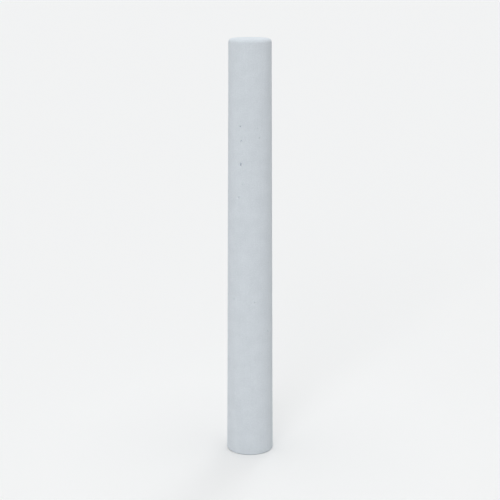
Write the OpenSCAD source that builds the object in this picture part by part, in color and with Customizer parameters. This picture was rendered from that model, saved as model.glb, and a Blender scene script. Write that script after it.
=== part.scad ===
// Chalk stick: a round rod of plaster chalk, cast in one piece in a tapered mould.
// Units are millimetres. The stick stands on its wide end, which is struck off flat
// when the mould is filled. The floor of the mould forms the narrow end.
// The origin is the centre of the wide end's face, and +Z runs up the stick.

/* [Body] */
// Length of the stick from face to face
stick_length = 80; // [60:0.5:110]
// Diameter of the wide end, with its edge taken as sharp
wide_end_d = 9; // [8.5:0.1:12]
// Diameter of the narrow end, with its edge taken as sharp
narrow_end_d = 8; // [6:0.1:8.5]

/* [Edges] */
// Radius of the edge round the struck face, at the wide end
struck_edge_r = 0.25; // [0.1:0.05:1]
// Radius of the edge round the moulded face, at the narrow end
moulded_edge_r = 0.7; // [0.2:0.05:2]

/* [Hidden] */
$fn = 96;
chalk_white = [0.86, 0.88, 0.9];

// The radius shrinks by this much for each millimetre of height, which is the
// mould's draft: the cast stick slides out of it.
draft = (wide_end_d - narrow_end_d) / 2 / stick_length;

// Height at which the straight side starts and ends
side_foot_z = struck_edge_r;
side_top_z = stick_length - moulded_edge_r;

// Radius of the straight side at height z
function side_r(z) = wide_end_d / 2 - draft * z;

// Centres of the two rounded edges' arcs, in the section's plane
struck_arc = [side_r(side_foot_z) - struck_edge_r, side_foot_z];
moulded_arc = [side_r(side_top_z) - moulded_edge_r, side_top_z];

// A quarter of a disc, up and to the right of its centre.
module quarter_disc(r) {
    intersection() {
        circle(r = r);
        square(r);
    }
}

// Half of the stick's section. The straight side meets each rounded edge within the
// draft's angle of a smooth join, and a flat face closes each end.
module half_section() {
    polygon([
        [0, 0],
        [struck_arc.x, 0],
        struck_arc,
        [side_r(side_foot_z), side_foot_z],
        [side_r(side_top_z), side_top_z],
        moulded_arc,
        [moulded_arc.x, stick_length],
        [0, stick_length],
    ]);

    translate(struck_arc)
    mirror([0, 1])
    quarter_disc(struck_edge_r);

    translate(moulded_arc)
    quarter_disc(moulded_edge_r);
}

// The whole stick: one casting, solid all through.
module chalk_stick() {
    color(chalk_white)
    rotate_extrude()
    half_section();
}

chalk_stick();
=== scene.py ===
"""A stick of board chalk, cast in one piece, standing on a pale studio floor.

It is laid out as an add-on and run as a script. Lengths are in metres.
"""

import math
import random

import bmesh
import bpy
from bpy.props import FloatProperty, FloatVectorProperty, IntProperty, PointerProperty
from mathutils import Euler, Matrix, Vector, kdtree, noise


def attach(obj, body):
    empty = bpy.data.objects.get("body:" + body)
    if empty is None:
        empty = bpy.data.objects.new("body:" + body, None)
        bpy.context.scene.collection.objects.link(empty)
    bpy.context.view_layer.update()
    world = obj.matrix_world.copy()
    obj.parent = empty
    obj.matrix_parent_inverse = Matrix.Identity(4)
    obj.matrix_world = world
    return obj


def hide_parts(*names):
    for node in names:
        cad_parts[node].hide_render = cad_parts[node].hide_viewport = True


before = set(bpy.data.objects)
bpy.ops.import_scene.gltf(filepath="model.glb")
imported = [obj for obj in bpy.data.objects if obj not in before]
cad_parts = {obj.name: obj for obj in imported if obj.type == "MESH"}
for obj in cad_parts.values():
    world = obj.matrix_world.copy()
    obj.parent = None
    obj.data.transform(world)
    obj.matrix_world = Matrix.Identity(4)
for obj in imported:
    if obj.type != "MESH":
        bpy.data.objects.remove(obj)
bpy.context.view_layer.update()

bl_info = {
    "name": "Chalk Stick",
    "version": (1, 0, 0),
    "blender": (4, 5, 0),
    "location": "3D View > Sidebar > Chalk",
    "description": "Casts a tapered stick of board chalk and sets it on a studio floor",
    "category": "Add Mesh",
}

MM = 0.001
NODE = "chalk_stick"
BODY = "root"
WELD = 0.001 * MM  # points nearer than this are one point
SIZE_PLACES = 6  # the driving sizes are rounded to a thousandth of a millimetre


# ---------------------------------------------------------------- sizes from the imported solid


def read_section():
    """Works out the stick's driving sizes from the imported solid, whose points lie on its true surface."""
    rings = [(math.hypot(v.co.x, v.co.y), v.co.z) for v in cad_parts[NODE].data.vertices]
    length = max(z for r, z in rings)
    side_foot_r, side_foot_z = max(rings)  # the widest ring, where the struck edge meets the side
    middle_r, middle_z = min(rings, key=lambda ring: abs(ring[1] - length / 2))
    draft = (side_foot_r - middle_r) / (middle_z - side_foot_z)
    wide_r = side_foot_r + draft * side_foot_z
    narrow_r = wide_r - draft * length
    moulded_face_r = max(r for r, z in rings if z > length - WELD)
    # The moulded edge is a quarter circle. It starts its own radius below the face, where the side is wider.
    sizes = {
        "length": length,
        "wide_diameter": 2 * wide_r,
        "narrow_diameter": 2 * narrow_r,
        "struck_edge": side_foot_z,
        "moulded_edge": (narrow_r - moulded_face_r) / (1 - draft),
    }
    return {name: round(size, SIZE_PLACES) for name, size in sizes.items()}


SECTION = read_section()


# ---------------------------------------------------------------- properties


class ChalkStickSizes(bpy.types.PropertyGroup):
    """The casting's outline"""

    length: FloatProperty(
        name="Length",
        description="From the struck face to the moulded face",
        default=SECTION["length"],
        unit="LENGTH",
    )
    wide_diameter: FloatProperty(
        name="Wide End",
        description="Diameter of the struck end, with its edge taken as sharp",
        default=SECTION["wide_diameter"],
        unit="LENGTH",
    )
    narrow_diameter: FloatProperty(
        name="Narrow End",
        description="Diameter of the moulded end, with its edge taken as sharp",
        default=SECTION["narrow_diameter"],
        unit="LENGTH",
    )
    struck_edge: FloatProperty(
        name="Struck Edge",
        description="Radius of the edge round the struck face",
        default=SECTION["struck_edge"],
        unit="LENGTH",
    )
    moulded_edge: FloatProperty(
        name="Moulded Edge",
        description="Radius of the edge round the moulded face",
        default=SECTION["moulded_edge"],
        unit="LENGTH",
    )
    face_size: FloatProperty(
        name="Face Size",
        description="Length of a face's side on the plain skin",
        default=0.25 * MM,
        unit="LENGTH",
    )


class ChalkSkin(bpy.types.PropertyGroup):
    """What casting leaves on the surface"""

    wave_length: FloatProperty(
        name="Wave Length",
        description="Distance between the skin's broad swells",
        default=7 * MM,
        unit="LENGTH",
    )
    wave_depth: FloatProperty(
        name="Wave Depth",
        description="Depth of the skin's broad swells",
        default=0.02 * MM,
        unit="LENGTH",
    )
    flute_width: FloatProperty(
        name="Flute Width",
        description="Distance between the faint flutes that sliding out of the mould leaves along the side",
        default=1.1 * MM,
        unit="LENGTH",
    )
    flute_depth: FloatProperty(
        name="Flute Depth",
        description="Depth of the faint flutes",
        default=0.008 * MM,
        unit="LENGTH",
    )
    mark_spacing: FloatProperty(
        name="Strike Mark Spacing",
        description="Distance between the marks that the straight edge drags across the struck face",
        default=1.1 * MM,
        unit="LENGTH",
    )
    mark_depth: FloatProperty(
        name="Strike Mark Depth",
        description="Depth of the marks across the struck face",
        default=0.08 * MM,
        unit="LENGTH",
    )
    pinholes: IntProperty(
        name="Pinholes",
        description="Number of pinholes scattered over the side, besides those chosen at the front",
        default=70,
        min=0,
    )
    moulded_pinholes: IntProperty(
        name="Pinholes in Moulded Face",
        description="Number of pinholes in the face at the mould's floor",
        default=5,
        min=0,
    )
    struck_pinholes: IntProperty(
        name="Pinholes in Struck Face",
        description="Number of air bubbles that the straight edge cut open",
        default=12,
        min=0,
    )
    smallest_pinhole: FloatProperty(
        name="Smallest Pinhole",
        description="Diameter of the smallest scattered pinholes, which are the most common",
        default=0.14 * MM,
        unit="LENGTH",
    )
    largest_pinhole: FloatProperty(
        name="Largest Pinhole",
        description="Diameter of the largest scattered pinholes, which are rare",
        default=0.45 * MM,
        unit="LENGTH",
    )
    pinhole_depth: FloatProperty(
        name="Pinhole Depth",
        description="Depth of a pinhole, in radii",
        default=2.3,
    )
    seed: IntProperty(
        name="Seed",
        description="Chooses where the pinholes fall",
        default=12,
    )


class ChalkFinish(bpy.types.PropertyGroup):
    """The chalk's colour and grain"""

    light_colour: FloatVectorProperty(
        name="Light Chalk",
        description="Colour of the densest, whitest chalk",
        subtype="COLOR",
        default=(0.872, 0.917, 0.957),
        min=0,
        max=1,
    )
    dark_colour: FloatVectorProperty(
        name="Dark Chalk",
        description="Colour of the more open, greyer chalk",
        subtype="COLOR",
        default=(0.745, 0.79, 0.83),
        min=0,
        max=1,
    )
    # Painted shade: the tiny pores are darkened in the colour to stand for the shade inside them, as the
    # chalk there is no darker.
    pore_shade_colour: FloatVectorProperty(
        name="Pores",
        description="Colour at the bottom of a tiny pore",
        subtype="COLOR",
        default=(0.5, 0.52, 0.54),
        min=0,
        max=1,
    )
    cloud_size: FloatProperty(
        name="Cloud Size",
        description="Size of the broad, faint clouds in the white",
        default=2.2 * MM,
        unit="LENGTH",
    )
    grain_size: FloatProperty(
        name="Grain Size",
        description="Size of the powdery grain",
        default=0.14 * MM,
        unit="LENGTH",
    )
    pore_spacing: FloatProperty(
        name="Pore Spacing",
        description="Distance between the tiny pores",
        default=0.45 * MM,
        unit="LENGTH",
    )
    streak_width: FloatProperty(
        name="Streak Width",
        description="Width of the faint streaks that sliding out of the mould leaves along the side",
        default=0.3 * MM,
        unit="LENGTH",
    )
    scratch_width: FloatProperty(
        name="Scratch Width",
        description="Width of the fine scratches that the straight edge leaves across the struck face",
        default=0.12 * MM,
        unit="LENGTH",
    )
    relief: FloatProperty(
        name="Relief",
        description="Depth of the tiny pores, which the grain, the streaks and the scratches follow",
        default=0.04 * MM,
        unit="LENGTH",
    )
    roughness: FloatProperty(
        name="Roughness",
        description="Roughness of the smoothest chalk, to which the grain adds",
        default=0.9,
        min=0,
        max=1,
        subtype="FACTOR",
    )
    powder: FloatProperty(
        name="Powder",
        description="How evenly the powdery surface scatters light towards its edges",
        default=0.25,
        min=0,
        max=1,
        subtype="FACTOR",
    )
    reflection: FloatProperty(
        name="Reflection",
        description="Strength of the faint reflection, where 0.5 is that of plain plastic",
        default=0.25,
        min=0,
        max=1,
        subtype="FACTOR",
    )


class ChalkStudio(bpy.types.PropertyGroup):
    """The floor, the lights and the camera"""

    floor_colour: FloatVectorProperty(
        name="Floor",
        description="Colour of the plain floor",
        subtype="COLOR",
        default=(0.95, 0.945, 0.934),
        min=0,
        max=1,
    )
    backdrop_colour: FloatVectorProperty(
        name="Backdrop",
        description="Colour that shows beyond the floor",
        subtype="COLOR",
        default=(0.883, 0.893, 0.895),
        min=0,
        max=1,
    )
    light_colour: FloatVectorProperty(
        name="Light",
        description="Colour of the lights",
        subtype="COLOR",
        default=(0.97, 0.985, 1.0),
        min=0,
        max=1,
    )
    top_light: FloatProperty(
        name="Top Light",
        description="Strength of the broad light overhead",
        default=2.32,
    )
    key_light: FloatProperty(
        name="Key Light",
        description="Strength of the light from the front and left",
        default=0.7,
    )
    back_light: FloatProperty(
        name="Back Light",
        description="Strength of the light from behind and right",
        default=0.6,
    )
    sky_light: FloatProperty(
        name="Sky Light",
        description="Strength of the even light from all round",
        default=0.08,
    )
    camera_distance: FloatProperty(
        name="Camera Distance",
        description="From the camera to the middle of the stick",
        default=244 * MM,
        unit="LENGTH",
    )
    camera_elevation: FloatProperty(
        name="Camera Elevation",
        description="Angle of the camera above the horizon",
        default=math.radians(13.4),
        subtype="ANGLE",
    )
    focal_length: FloatProperty(
        name="Focal Length",
        description="Focal length in millimetres, on a sensor 36 mm wide",
        default=92,
        unit="CAMERA",
    )


# ---------------------------------------------------------------- shader graph


class Wire:
    """A shader socket that stands in a Python expression: each operator adds one Math node."""

    def __init__(self, graph, socket):
        self.graph = graph
        self.socket = socket

    def __add__(self, other):
        return self.graph.math("ADD", self, other)

    def __radd__(self, other):
        return self.graph.math("ADD", other, self)

    def __sub__(self, other):
        return self.graph.math("SUBTRACT", self, other)

    def __rsub__(self, other):
        return self.graph.math("SUBTRACT", other, self)

    def __mul__(self, other):
        return self.graph.math("MULTIPLY", self, other)

    def __rmul__(self, other):
        return self.graph.math("MULTIPLY", other, self)

    def sibling(self, output):
        """Another output of the node that this socket belongs to."""
        return Wire(self.graph, self.socket.node.outputs[output])


class Graph:
    """The node tree of one material or world."""

    def __init__(self, owner):
        owner.use_nodes = True
        self.tree = owner.node_tree
        self.tree.nodes.clear()

    def add(self, kind, settings=None, sockets=None, output=0):
        """Adds a node, applies its settings, fills its sockets by identifier and returns an output."""
        node = self.tree.nodes.new(kind)
        for name, value in (settings or {}).items():
            setattr(node, name, value)
        by_identifier = {socket.identifier: socket for socket in node.inputs}
        for identifier, value in (sockets or {}).items():
            if isinstance(value, Wire):
                self.tree.links.new(value.socket, by_identifier[identifier])
            else:
                by_identifier[identifier].default_value = value
        return Wire(self, node.outputs[output]) if node.outputs else None

    def math(self, operation, first, second):
        """Adds a Math node on two values."""
        return self.add("ShaderNodeMath", {"operation": operation}, {"Value": first, "Value_001": second})

    def ramp(self, value, low, high):
        """Maps the values between low and high smoothly onto 0 to 1."""
        return self.add(
            "ShaderNodeMapRange",
            {"interpolation_type": "SMOOTHSTEP"},
            {"Value": value, "From Min": low, "From Max": high},
        )

    def noise(self, place, size, detail):
        """Adds a noise about 0.5 whose features are about as large as size."""
        return self.add("ShaderNodeTexNoise", {}, {"Vector": place, "Scale": 1 / size, "Detail": detail})

    def blend(self, factor, first, second):
        """Blends two colours."""
        return self.add(
            "ShaderNodeMix",
            {"data_type": "RGBA"},
            {"Factor_Float": factor, "A_Color": first, "B_Color": second},
            output=2,  # the colour result
        )


def opaque(colour):
    """Gives a colour its full alpha."""
    return (*colour, 1)


# ---------------------------------------------------------------- finishes


PORE_RADIUS = 0.09  # the largest pore's radius and its soft edge's width, in pore spacings
PORE_EDGE = 0.04

CLOUD_TONE = 0.25  # how much the clouds, the grain and the streaks each add to the chalk's tone
GRAIN_TONE = 0.5
STREAK_TONE = 0.25

CLOUD_RANGE = (0.25, 0.75)  # the noise values that give the darkest and the lightest chalk
GRAIN_RANGE = (0.3, 0.7)

GRAIN_RELIEF = 0.3  # how high the grain and the streaks stand, where a pore is 1 deep
STREAK_RELIEF = 0.15
GRAIN_ROUGHNESS = 0.1  # how much the grain adds to the roughness

DRAWN_OUT = 0.05  # the scale of a streak or a scratch along its length, where it is 1 across it
STRUCK_FADE = (0.05 * MM, 0.15 * MM)  # the heights between which scratches give way to streaks


def tiny_pores(graph, place, spacing):
    """Sparse round pores of many sizes: up to 1 at the middle of each, and 0 between them."""
    distance = graph.add("ShaderNodeTexVoronoi", {}, {"Vector": place, "Scale": 1 / spacing})
    chance = graph.add("ShaderNodeSeparateColor", {}, {"Color": distance.sibling("Color")})
    return graph.ramp(chance * PORE_RADIUS - distance, 0, PORE_EDGE)


def board_chalk(finish):
    """The finish of cast chalk: matte, with faint clouds, a fine grain, streaks and tiny pores, whose
    insides are darkened with painted shade.
    """
    material = bpy.data.materials.new("board_chalk")
    graph = Graph(material)
    place = graph.add("ShaderNodeTexCoord", output="Object")
    height = graph.add("ShaderNodeSeparateXYZ", {}, {"Vector": place}, output="Z")
    lengthways = graph.add("ShaderNodeMapping", {}, {"Vector": place, "Scale": (1, 1, DRAWN_OUT)})
    crossways = graph.add("ShaderNodeMapping", {}, {"Vector": place, "Scale": (DRAWN_OUT, 1, 1)})

    clouds = graph.noise(place, finish.cloud_size, detail=3)
    grain = graph.noise(place, finish.grain_size, detail=3)
    streaks = graph.noise(lengthways, finish.streak_width, detail=2)
    scratches = graph.noise(crossways, finish.scratch_width, detail=2)
    pores = tiny_pores(graph, place, finish.pore_spacing)
    struck = 1 - graph.ramp(height, *STRUCK_FADE)

    tone = graph.ramp(clouds, *CLOUD_RANGE) * CLOUD_TONE
    tone += graph.ramp(grain, *GRAIN_RANGE) * GRAIN_TONE
    tone += streaks * STREAK_TONE
    colour = graph.blend(tone, opaque(finish.dark_colour), opaque(finish.light_colour))
    # Painted shade: the pores' insides are blended towards the pore shade colour, besides being pressed in
    # by the bump below.
    colour = graph.blend(pores, colour, opaque(finish.pore_shade_colour))

    relief = grain * GRAIN_RELIEF - pores
    relief += streaks * STREAK_RELIEF * (1 - struck)
    relief += scratches * struck
    normal = graph.add("ShaderNodeBump", {}, {"Height": relief, "Distance": finish.relief, "Strength": 1.0})

    shader = graph.add(
        "ShaderNodeBsdfPrincipled",
        {},
        {
            "Base Color": colour,
            "Roughness": finish.roughness + GRAIN_ROUGHNESS * grain,
            "Diffuse Roughness": finish.powder,
            "Specular IOR Level": finish.reflection,
            "Normal": normal,
        },
    )
    graph.add("ShaderNodeOutputMaterial", {}, {"Surface": shader})
    return material


def studio_floor(colour):
    """The finish of the plain floor."""
    material = bpy.data.materials.new("studio_floor")
    graph = Graph(material)
    shader = graph.add("ShaderNodeBsdfDiffuse", {}, {"Color": opaque(colour)})
    graph.add("ShaderNodeOutputMaterial", {}, {"Surface": shader})
    return material


# ---------------------------------------------------------------- the casting


EDGE_SEGMENTS = 8  # how many flats make up each rounded edge

BOWL = 0.8  # the power that shapes a pit: 0.5 is half an ellipsoid, and 1 is a softer bowl
COMMON_SMALL = 4  # the power that makes small pinholes common and large ones rare
STRETCHES = (0.9, 1.2)  # how far the scattered pinholes in the side are drawn out along the stick
MARGIN = 0.75 * MM  # how far the scattered pinholes keep from an edge
REFINED_CUTS = 6  # how many times a face's side is cut round a pinhole

# The pinholes listed at the front: the centre's height in millimetres and its turn from the front
# in degrees, the diameter in millimetres, and how far the pit is drawn out along the stick.
FRONT_PINHOLES = [
    (57.2, -25, 0.52, 1.4),
    (64.2, -26, 0.30, 1.1),
    (63.9, 19, 0.20, 1.0),
    (62.1, 26, 0.22, 1.2),
    (61.6, -23, 0.28, 1.1),
    (53.5, -18, 0.22, 1.0),
    (51.0, -30, 0.30, 1.2),
]

FLUTE_STRETCH = 8  # how many times longer than wide the flutes and the strike marks are
MARK_STRETCH = 30


def spin_casting(bm, stick):
    """Draws half of the stick's section, rounds its two corners and spins it into a closed skin."""
    outline = [
        (0, 0),
        (stick.wide_diameter / 2, 0),
        (stick.narrow_diameter / 2, stick.length),
        (0, stick.length),
    ]
    points = [bm.verts.new((r, 0, z)) for r, z in outline]
    for pair in zip(points, points[1:]):
        bm.edges.new(pair)
    for corner, radius in ((points[1], stick.struck_edge), (points[2], stick.moulded_edge)):
        bmesh.ops.bevel(
            bm,
            geom=[corner],
            offset=radius,
            segments=EDGE_SEGMENTS,
            affect="VERTICES",
            profile=0.5,
            material=-1,
        )
    for edge in bm.edges[:]:
        cuts = round(edge.calc_length() / stick.face_size) - 1
        if cuts > 0:
            bmesh.ops.subdivide_edges(bm, edges=[edge], cuts=cuts)
    bmesh.ops.spin(
        bm,
        geom=bm.verts[:] + bm.edges[:],
        cent=(0, 0, 0),
        axis=(0, 0, 1),
        angle=math.tau,
        steps=round(math.pi * stick.wide_diameter / stick.face_size),
        use_merge=True,
    )
    bmesh.ops.remove_doubles(bm, verts=bm.verts, dist=WELD)
    bmesh.ops.recalc_face_normals(bm, faces=bm.faces)


def side_radius(stick, height):
    """The drafted side's radius at a height."""
    rise = height / stick.length
    return stick.wide_diameter / 2 * (1 - rise) + stick.narrow_diameter / 2 * rise


def side_point(stick, height, turn):
    """A point on the drafted side and the direction out of it. A turn of 0 faces the front."""
    radius = side_radius(stick, height)
    draft = (stick.wide_diameter - stick.narrow_diameter) / 2 / stick.length
    outward = Vector((math.sin(turn), -math.cos(turn), draft)).normalized()
    return Vector((radius * math.sin(turn), -radius * math.cos(turn), height)), outward


class Pinhole:
    """An air bubble that met the mould: an oval pit with its centre on the skin."""

    def __init__(self, centre, outward, diameter, depth, stretch=1):
        self.centre = centre
        self.outward = outward
        self.radius = diameter / 2
        self.depth = self.radius * depth
        self.stretch = stretch

    def reach(self):
        """The largest distance from the centre at which the pit still shows."""
        return self.radius * max(self.stretch, 1 / self.stretch)

    def depth_at(self, point):
        """How far the pit lies under the skin at a point."""
        away = point - self.centre
        away -= away.project(self.outward)
        upright = away.z / self.stretch
        level = math.sqrt(max(away.length_squared - away.z**2, 0)) * self.stretch
        share = (upright**2 + level**2) / self.radius**2
        return self.depth * max(1 - share, 0) ** BOWL


def scatter_pinholes(stick, skin):
    """Places the chosen pinholes at the front and scatters the rest over the side and both ends."""
    chance = random.Random(skin.seed)
    depth = skin.pinhole_depth

    def diameter():
        growth = chance.random() ** COMMON_SMALL
        return skin.smallest_pinhole + (skin.largest_pinhole - skin.smallest_pinhole) * growth

    pinholes = []
    for height, turn, width, stretch in FRONT_PINHOLES:
        place = side_point(stick, height * MM, math.radians(turn))
        pinholes.append(Pinhole(*place, width * MM, depth, stretch))
    for _ in range(skin.pinholes):
        height = chance.uniform(stick.struck_edge + MARGIN, stick.length - stick.moulded_edge - MARGIN)
        place = side_point(stick, height, chance.uniform(0, math.tau))
        pinholes.append(Pinhole(*place, diameter(), depth, chance.uniform(*STRETCHES)))
    for count, height, way, face_radius in (
        (skin.moulded_pinholes, stick.length, 1, stick.narrow_diameter / 2 - stick.moulded_edge),
        (skin.struck_pinholes, 0, -1, stick.wide_diameter / 2 - stick.struck_edge),
    ):
        for _ in range(count):
            away = (face_radius - MARGIN) * math.sqrt(chance.random())
            turn = chance.uniform(0, math.tau)
            centre = Vector((away * math.sin(turn), -away * math.cos(turn), height))
            pinholes.append(Pinhole(centre, Vector((0, 0, way)), diameter(), depth))
    return pinholes


def point_tree(points):
    """A search tree of points."""
    tree = kdtree.KDTree(len(points))
    for index, point in enumerate(points):
        tree.insert(point, index)
    tree.balance()
    return tree


def near(tree, pinhole, distance):
    """The indices of a tree's points that lie within a distance of a pinhole's centre."""
    return [index for _, index, _ in tree.find_range(pinhole.centre, distance)]


def refine_round(bm, pinholes, stick):
    """Cuts the skin finer round each pinhole, and keeps the new points on the round side."""
    faces = bm.faces[:]
    tree = point_tree([face.calc_center_median() for face in faces])
    patch = {faces[index] for pit in pinholes for index in near(tree, pit, pit.reach() + stick.face_size)}
    bmesh.ops.subdivide_edges(
        bm,
        edges=[edge for edge in bm.edges if not patch.isdisjoint(edge.link_faces)],
        cuts=REFINED_CUTS,
        use_grid_fill=True,
        use_single_edge=True,
        quad_corner_type="PATH",
    )
    for vert in bm.verts:
        if stick.struck_edge < vert.co.z < stick.length - stick.moulded_edge:
            vert.co.xy *= side_radius(stick, vert.co.z) / vert.co.xy.length


def swell(point, size):
    """A smooth noise from -1 to 1, whose swells are about as long as size."""
    return noise.noise(point / size)


def weather_skin(bm, stick, skin):
    """Gives the skin the faint swells and flutes of a casting, and the struck face its drag marks."""
    bm.normal_update()
    face_radius = stick.wide_diameter / 2 - stick.struck_edge
    for vert in bm.verts:
        x, y, z = vert.co
        if z < WELD:
            mark = swell(Vector((x / MARK_STRETCH, y, 0)), skin.mark_spacing)
            inside = (face_radius - math.hypot(x, y)) / skin.mark_spacing
            depth = skin.mark_depth * max(mark, 0) * min(max(inside, 0), 1)
        else:
            wave = swell(vert.co, skin.wave_length)
            flute = swell(Vector((x, y, z / FLUTE_STRETCH)), skin.flute_width)
            depth = skin.wave_depth * (1 + wave) / 2 + skin.flute_depth * (1 + flute) / 2
        vert.co -= vert.normal * depth


def press_pinholes(bm, pinholes):
    """Presses each pinhole's pit into the skin."""
    verts = bm.verts[:]
    tree = point_tree([vert.co for vert in verts])
    for pit in pinholes:
        for index in near(tree, pit, pit.reach()):
            vert = verts[index]
            vert.co -= pit.outward * pit.depth_at(vert.co)


class CHALK_OT_cast_stick(bpy.types.Operator):
    """Cast the stick: spin its section, press its pinholes and give it its chalk finish"""

    bl_idname = "chalk.cast_stick"
    bl_label = "Cast Stick"
    bl_options = {"REGISTER", "UNDO"}

    def execute(self, context):
        stick = context.scene.chalk_sizes
        skin = context.scene.chalk_skin
        bm = bmesh.new()
        pinholes = scatter_pinholes(stick, skin)
        spin_casting(bm, stick)
        refine_round(bm, pinholes, stick)
        weather_skin(bm, stick, skin)
        press_pinholes(bm, pinholes)
        mesh = bpy.data.meshes.new("cast_chalk")
        bm.to_mesh(mesh)
        bm.free()
        mesh.shade_smooth()
        mesh.materials.append(board_chalk(context.scene.chalk_finish))
        casting = bpy.data.objects.new("cast_chalk", mesh)
        context.scene.collection.objects.link(casting)
        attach(casting, BODY)
        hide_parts(NODE)
        return {"FINISHED"}


# ---------------------------------------------------------------- the studio


FLOOR_REACH = 4  # how far the floor runs from the stick, in metres
SENSOR_WIDTH = 36  # in millimetres


def sun(context, name, strength, spread, elevation, azimuth):
    """Adds a broad, even light. An azimuth of 0 comes from the front, and -90 from the left."""
    light = bpy.data.lights.new(name, "SUN")
    light.energy = strength
    light.color = context.scene.chalk_studio.light_colour
    light.angle = math.radians(spread)
    lamp = bpy.data.objects.new(name, light)
    lamp.rotation_euler = Euler((math.radians(90 - elevation), 0, math.radians(azimuth)))
    context.scene.collection.objects.link(lamp)


class CHALK_OT_set_studio(bpy.types.Operator):
    """Set the studio: a plain floor, soft lights and the camera"""

    bl_idname = "chalk.set_studio"
    bl_label = "Set Studio"
    bl_options = {"REGISTER", "UNDO"}

    def execute(self, context):
        studio = context.scene.chalk_studio
        self.lay_floor(context, studio)
        sun(context, "top_light", studio.top_light, spread=50, elevation=90, azimuth=0)
        sun(context, "key_light", studio.key_light, spread=25, elevation=20, azimuth=-15)
        sun(context, "back_light", studio.back_light, spread=25, elevation=20, azimuth=160)
        self.light_sky(context, studio)
        self.place_camera(context, studio)
        context.scene.view_settings.view_transform = "Standard"
        return {"FINISHED"}

    def lay_floor(self, context, studio):
        """Lays the floor under the stick's foot."""
        bm = bmesh.new()
        bmesh.ops.create_grid(bm, x_segments=1, y_segments=1, size=FLOOR_REACH)
        mesh = bpy.data.meshes.new("studio_floor")
        bm.to_mesh(mesh)
        bm.free()
        mesh.materials.append(studio_floor(studio.floor_colour))
        floor = bpy.data.objects.new("studio_floor", mesh)
        context.scene.collection.objects.link(floor)

    def light_sky(self, context, studio):
        """Lights the scene evenly from all round, behind a pale backdrop."""
        world = bpy.data.worlds.new("studio_sky")
        graph = Graph(world)
        even = {"Color": opaque(studio.light_colour), "Strength": studio.sky_light}
        light = graph.add("ShaderNodeBackground", {}, even)
        backdrop = graph.add("ShaderNodeBackground", {}, {"Color": opaque(studio.backdrop_colour)})
        seen = graph.add("ShaderNodeLightPath", output="Is Camera Ray")
        sky = graph.add("ShaderNodeMixShader", {}, {"Fac": seen, "Shader": light, "Shader_001": backdrop})
        graph.add("ShaderNodeOutputWorld", {}, {"Surface": sky})
        context.scene.world = world

    def place_camera(self, context, studio):
        """Puts the camera in front of the stick, looking down at its middle."""
        camera = bpy.data.cameras.new("studio_camera")
        camera.sensor_width = SENSOR_WIDTH
        camera.lens = studio.focal_length
        tripod = bpy.data.objects.new("studio_camera", camera)
        elevation = studio.camera_elevation
        middle = Vector((0, 0, context.scene.chalk_sizes.length / 2))
        back = Vector((0, -math.cos(elevation), math.sin(elevation)))
        tripod.location = middle + back * studio.camera_distance
        tripod.rotation_euler = Euler((math.pi / 2 - elevation, 0, 0))
        context.scene.collection.objects.link(tripod)
        context.scene.camera = tripod


# ---------------------------------------------------------------- panel and registration


class CHALK_PT_sidebar(bpy.types.Panel):
    """Lists the chalk stick's steps and sizes"""

    bl_idname = "CHALK_PT_sidebar"
    bl_label = "Chalk Stick"
    bl_space_type = "VIEW_3D"
    bl_region_type = "UI"
    bl_category = "Chalk"

    def draw(self, context):
        for operator, groups in (
            (CHALK_OT_cast_stick, ("chalk_sizes", "chalk_skin", "chalk_finish")),
            (CHALK_OT_set_studio, ("chalk_studio",)),
        ):
            box = self.layout.box()
            box.operator(operator.bl_idname)
            for group in groups:
                settings = getattr(context.scene, group)
                for name in settings.__annotations__:
                    box.prop(settings, name)


GROUPS = {
    "chalk_sizes": ChalkStickSizes,
    "chalk_skin": ChalkSkin,
    "chalk_finish": ChalkFinish,
    "chalk_studio": ChalkStudio,
}
CLASSES = (*GROUPS.values(), CHALK_OT_cast_stick, CHALK_OT_set_studio, CHALK_PT_sidebar)


def register():
    """Registers the classes and gives each scene its settings."""
    for cls in CLASSES:
        bpy.utils.register_class(cls)
    for name, group in GROUPS.items():
        setattr(bpy.types.Scene, name, PointerProperty(type=group))


def unregister():
    """Takes away what register added."""
    for name in GROUPS:
        delattr(bpy.types.Scene, name)
    for cls in reversed(CLASSES):
        bpy.utils.unregister_class(cls)


def main():
    register()
    bpy.ops.chalk.cast_stick()
    bpy.ops.chalk.set_studio()


if __name__ == "__main__":
    main()
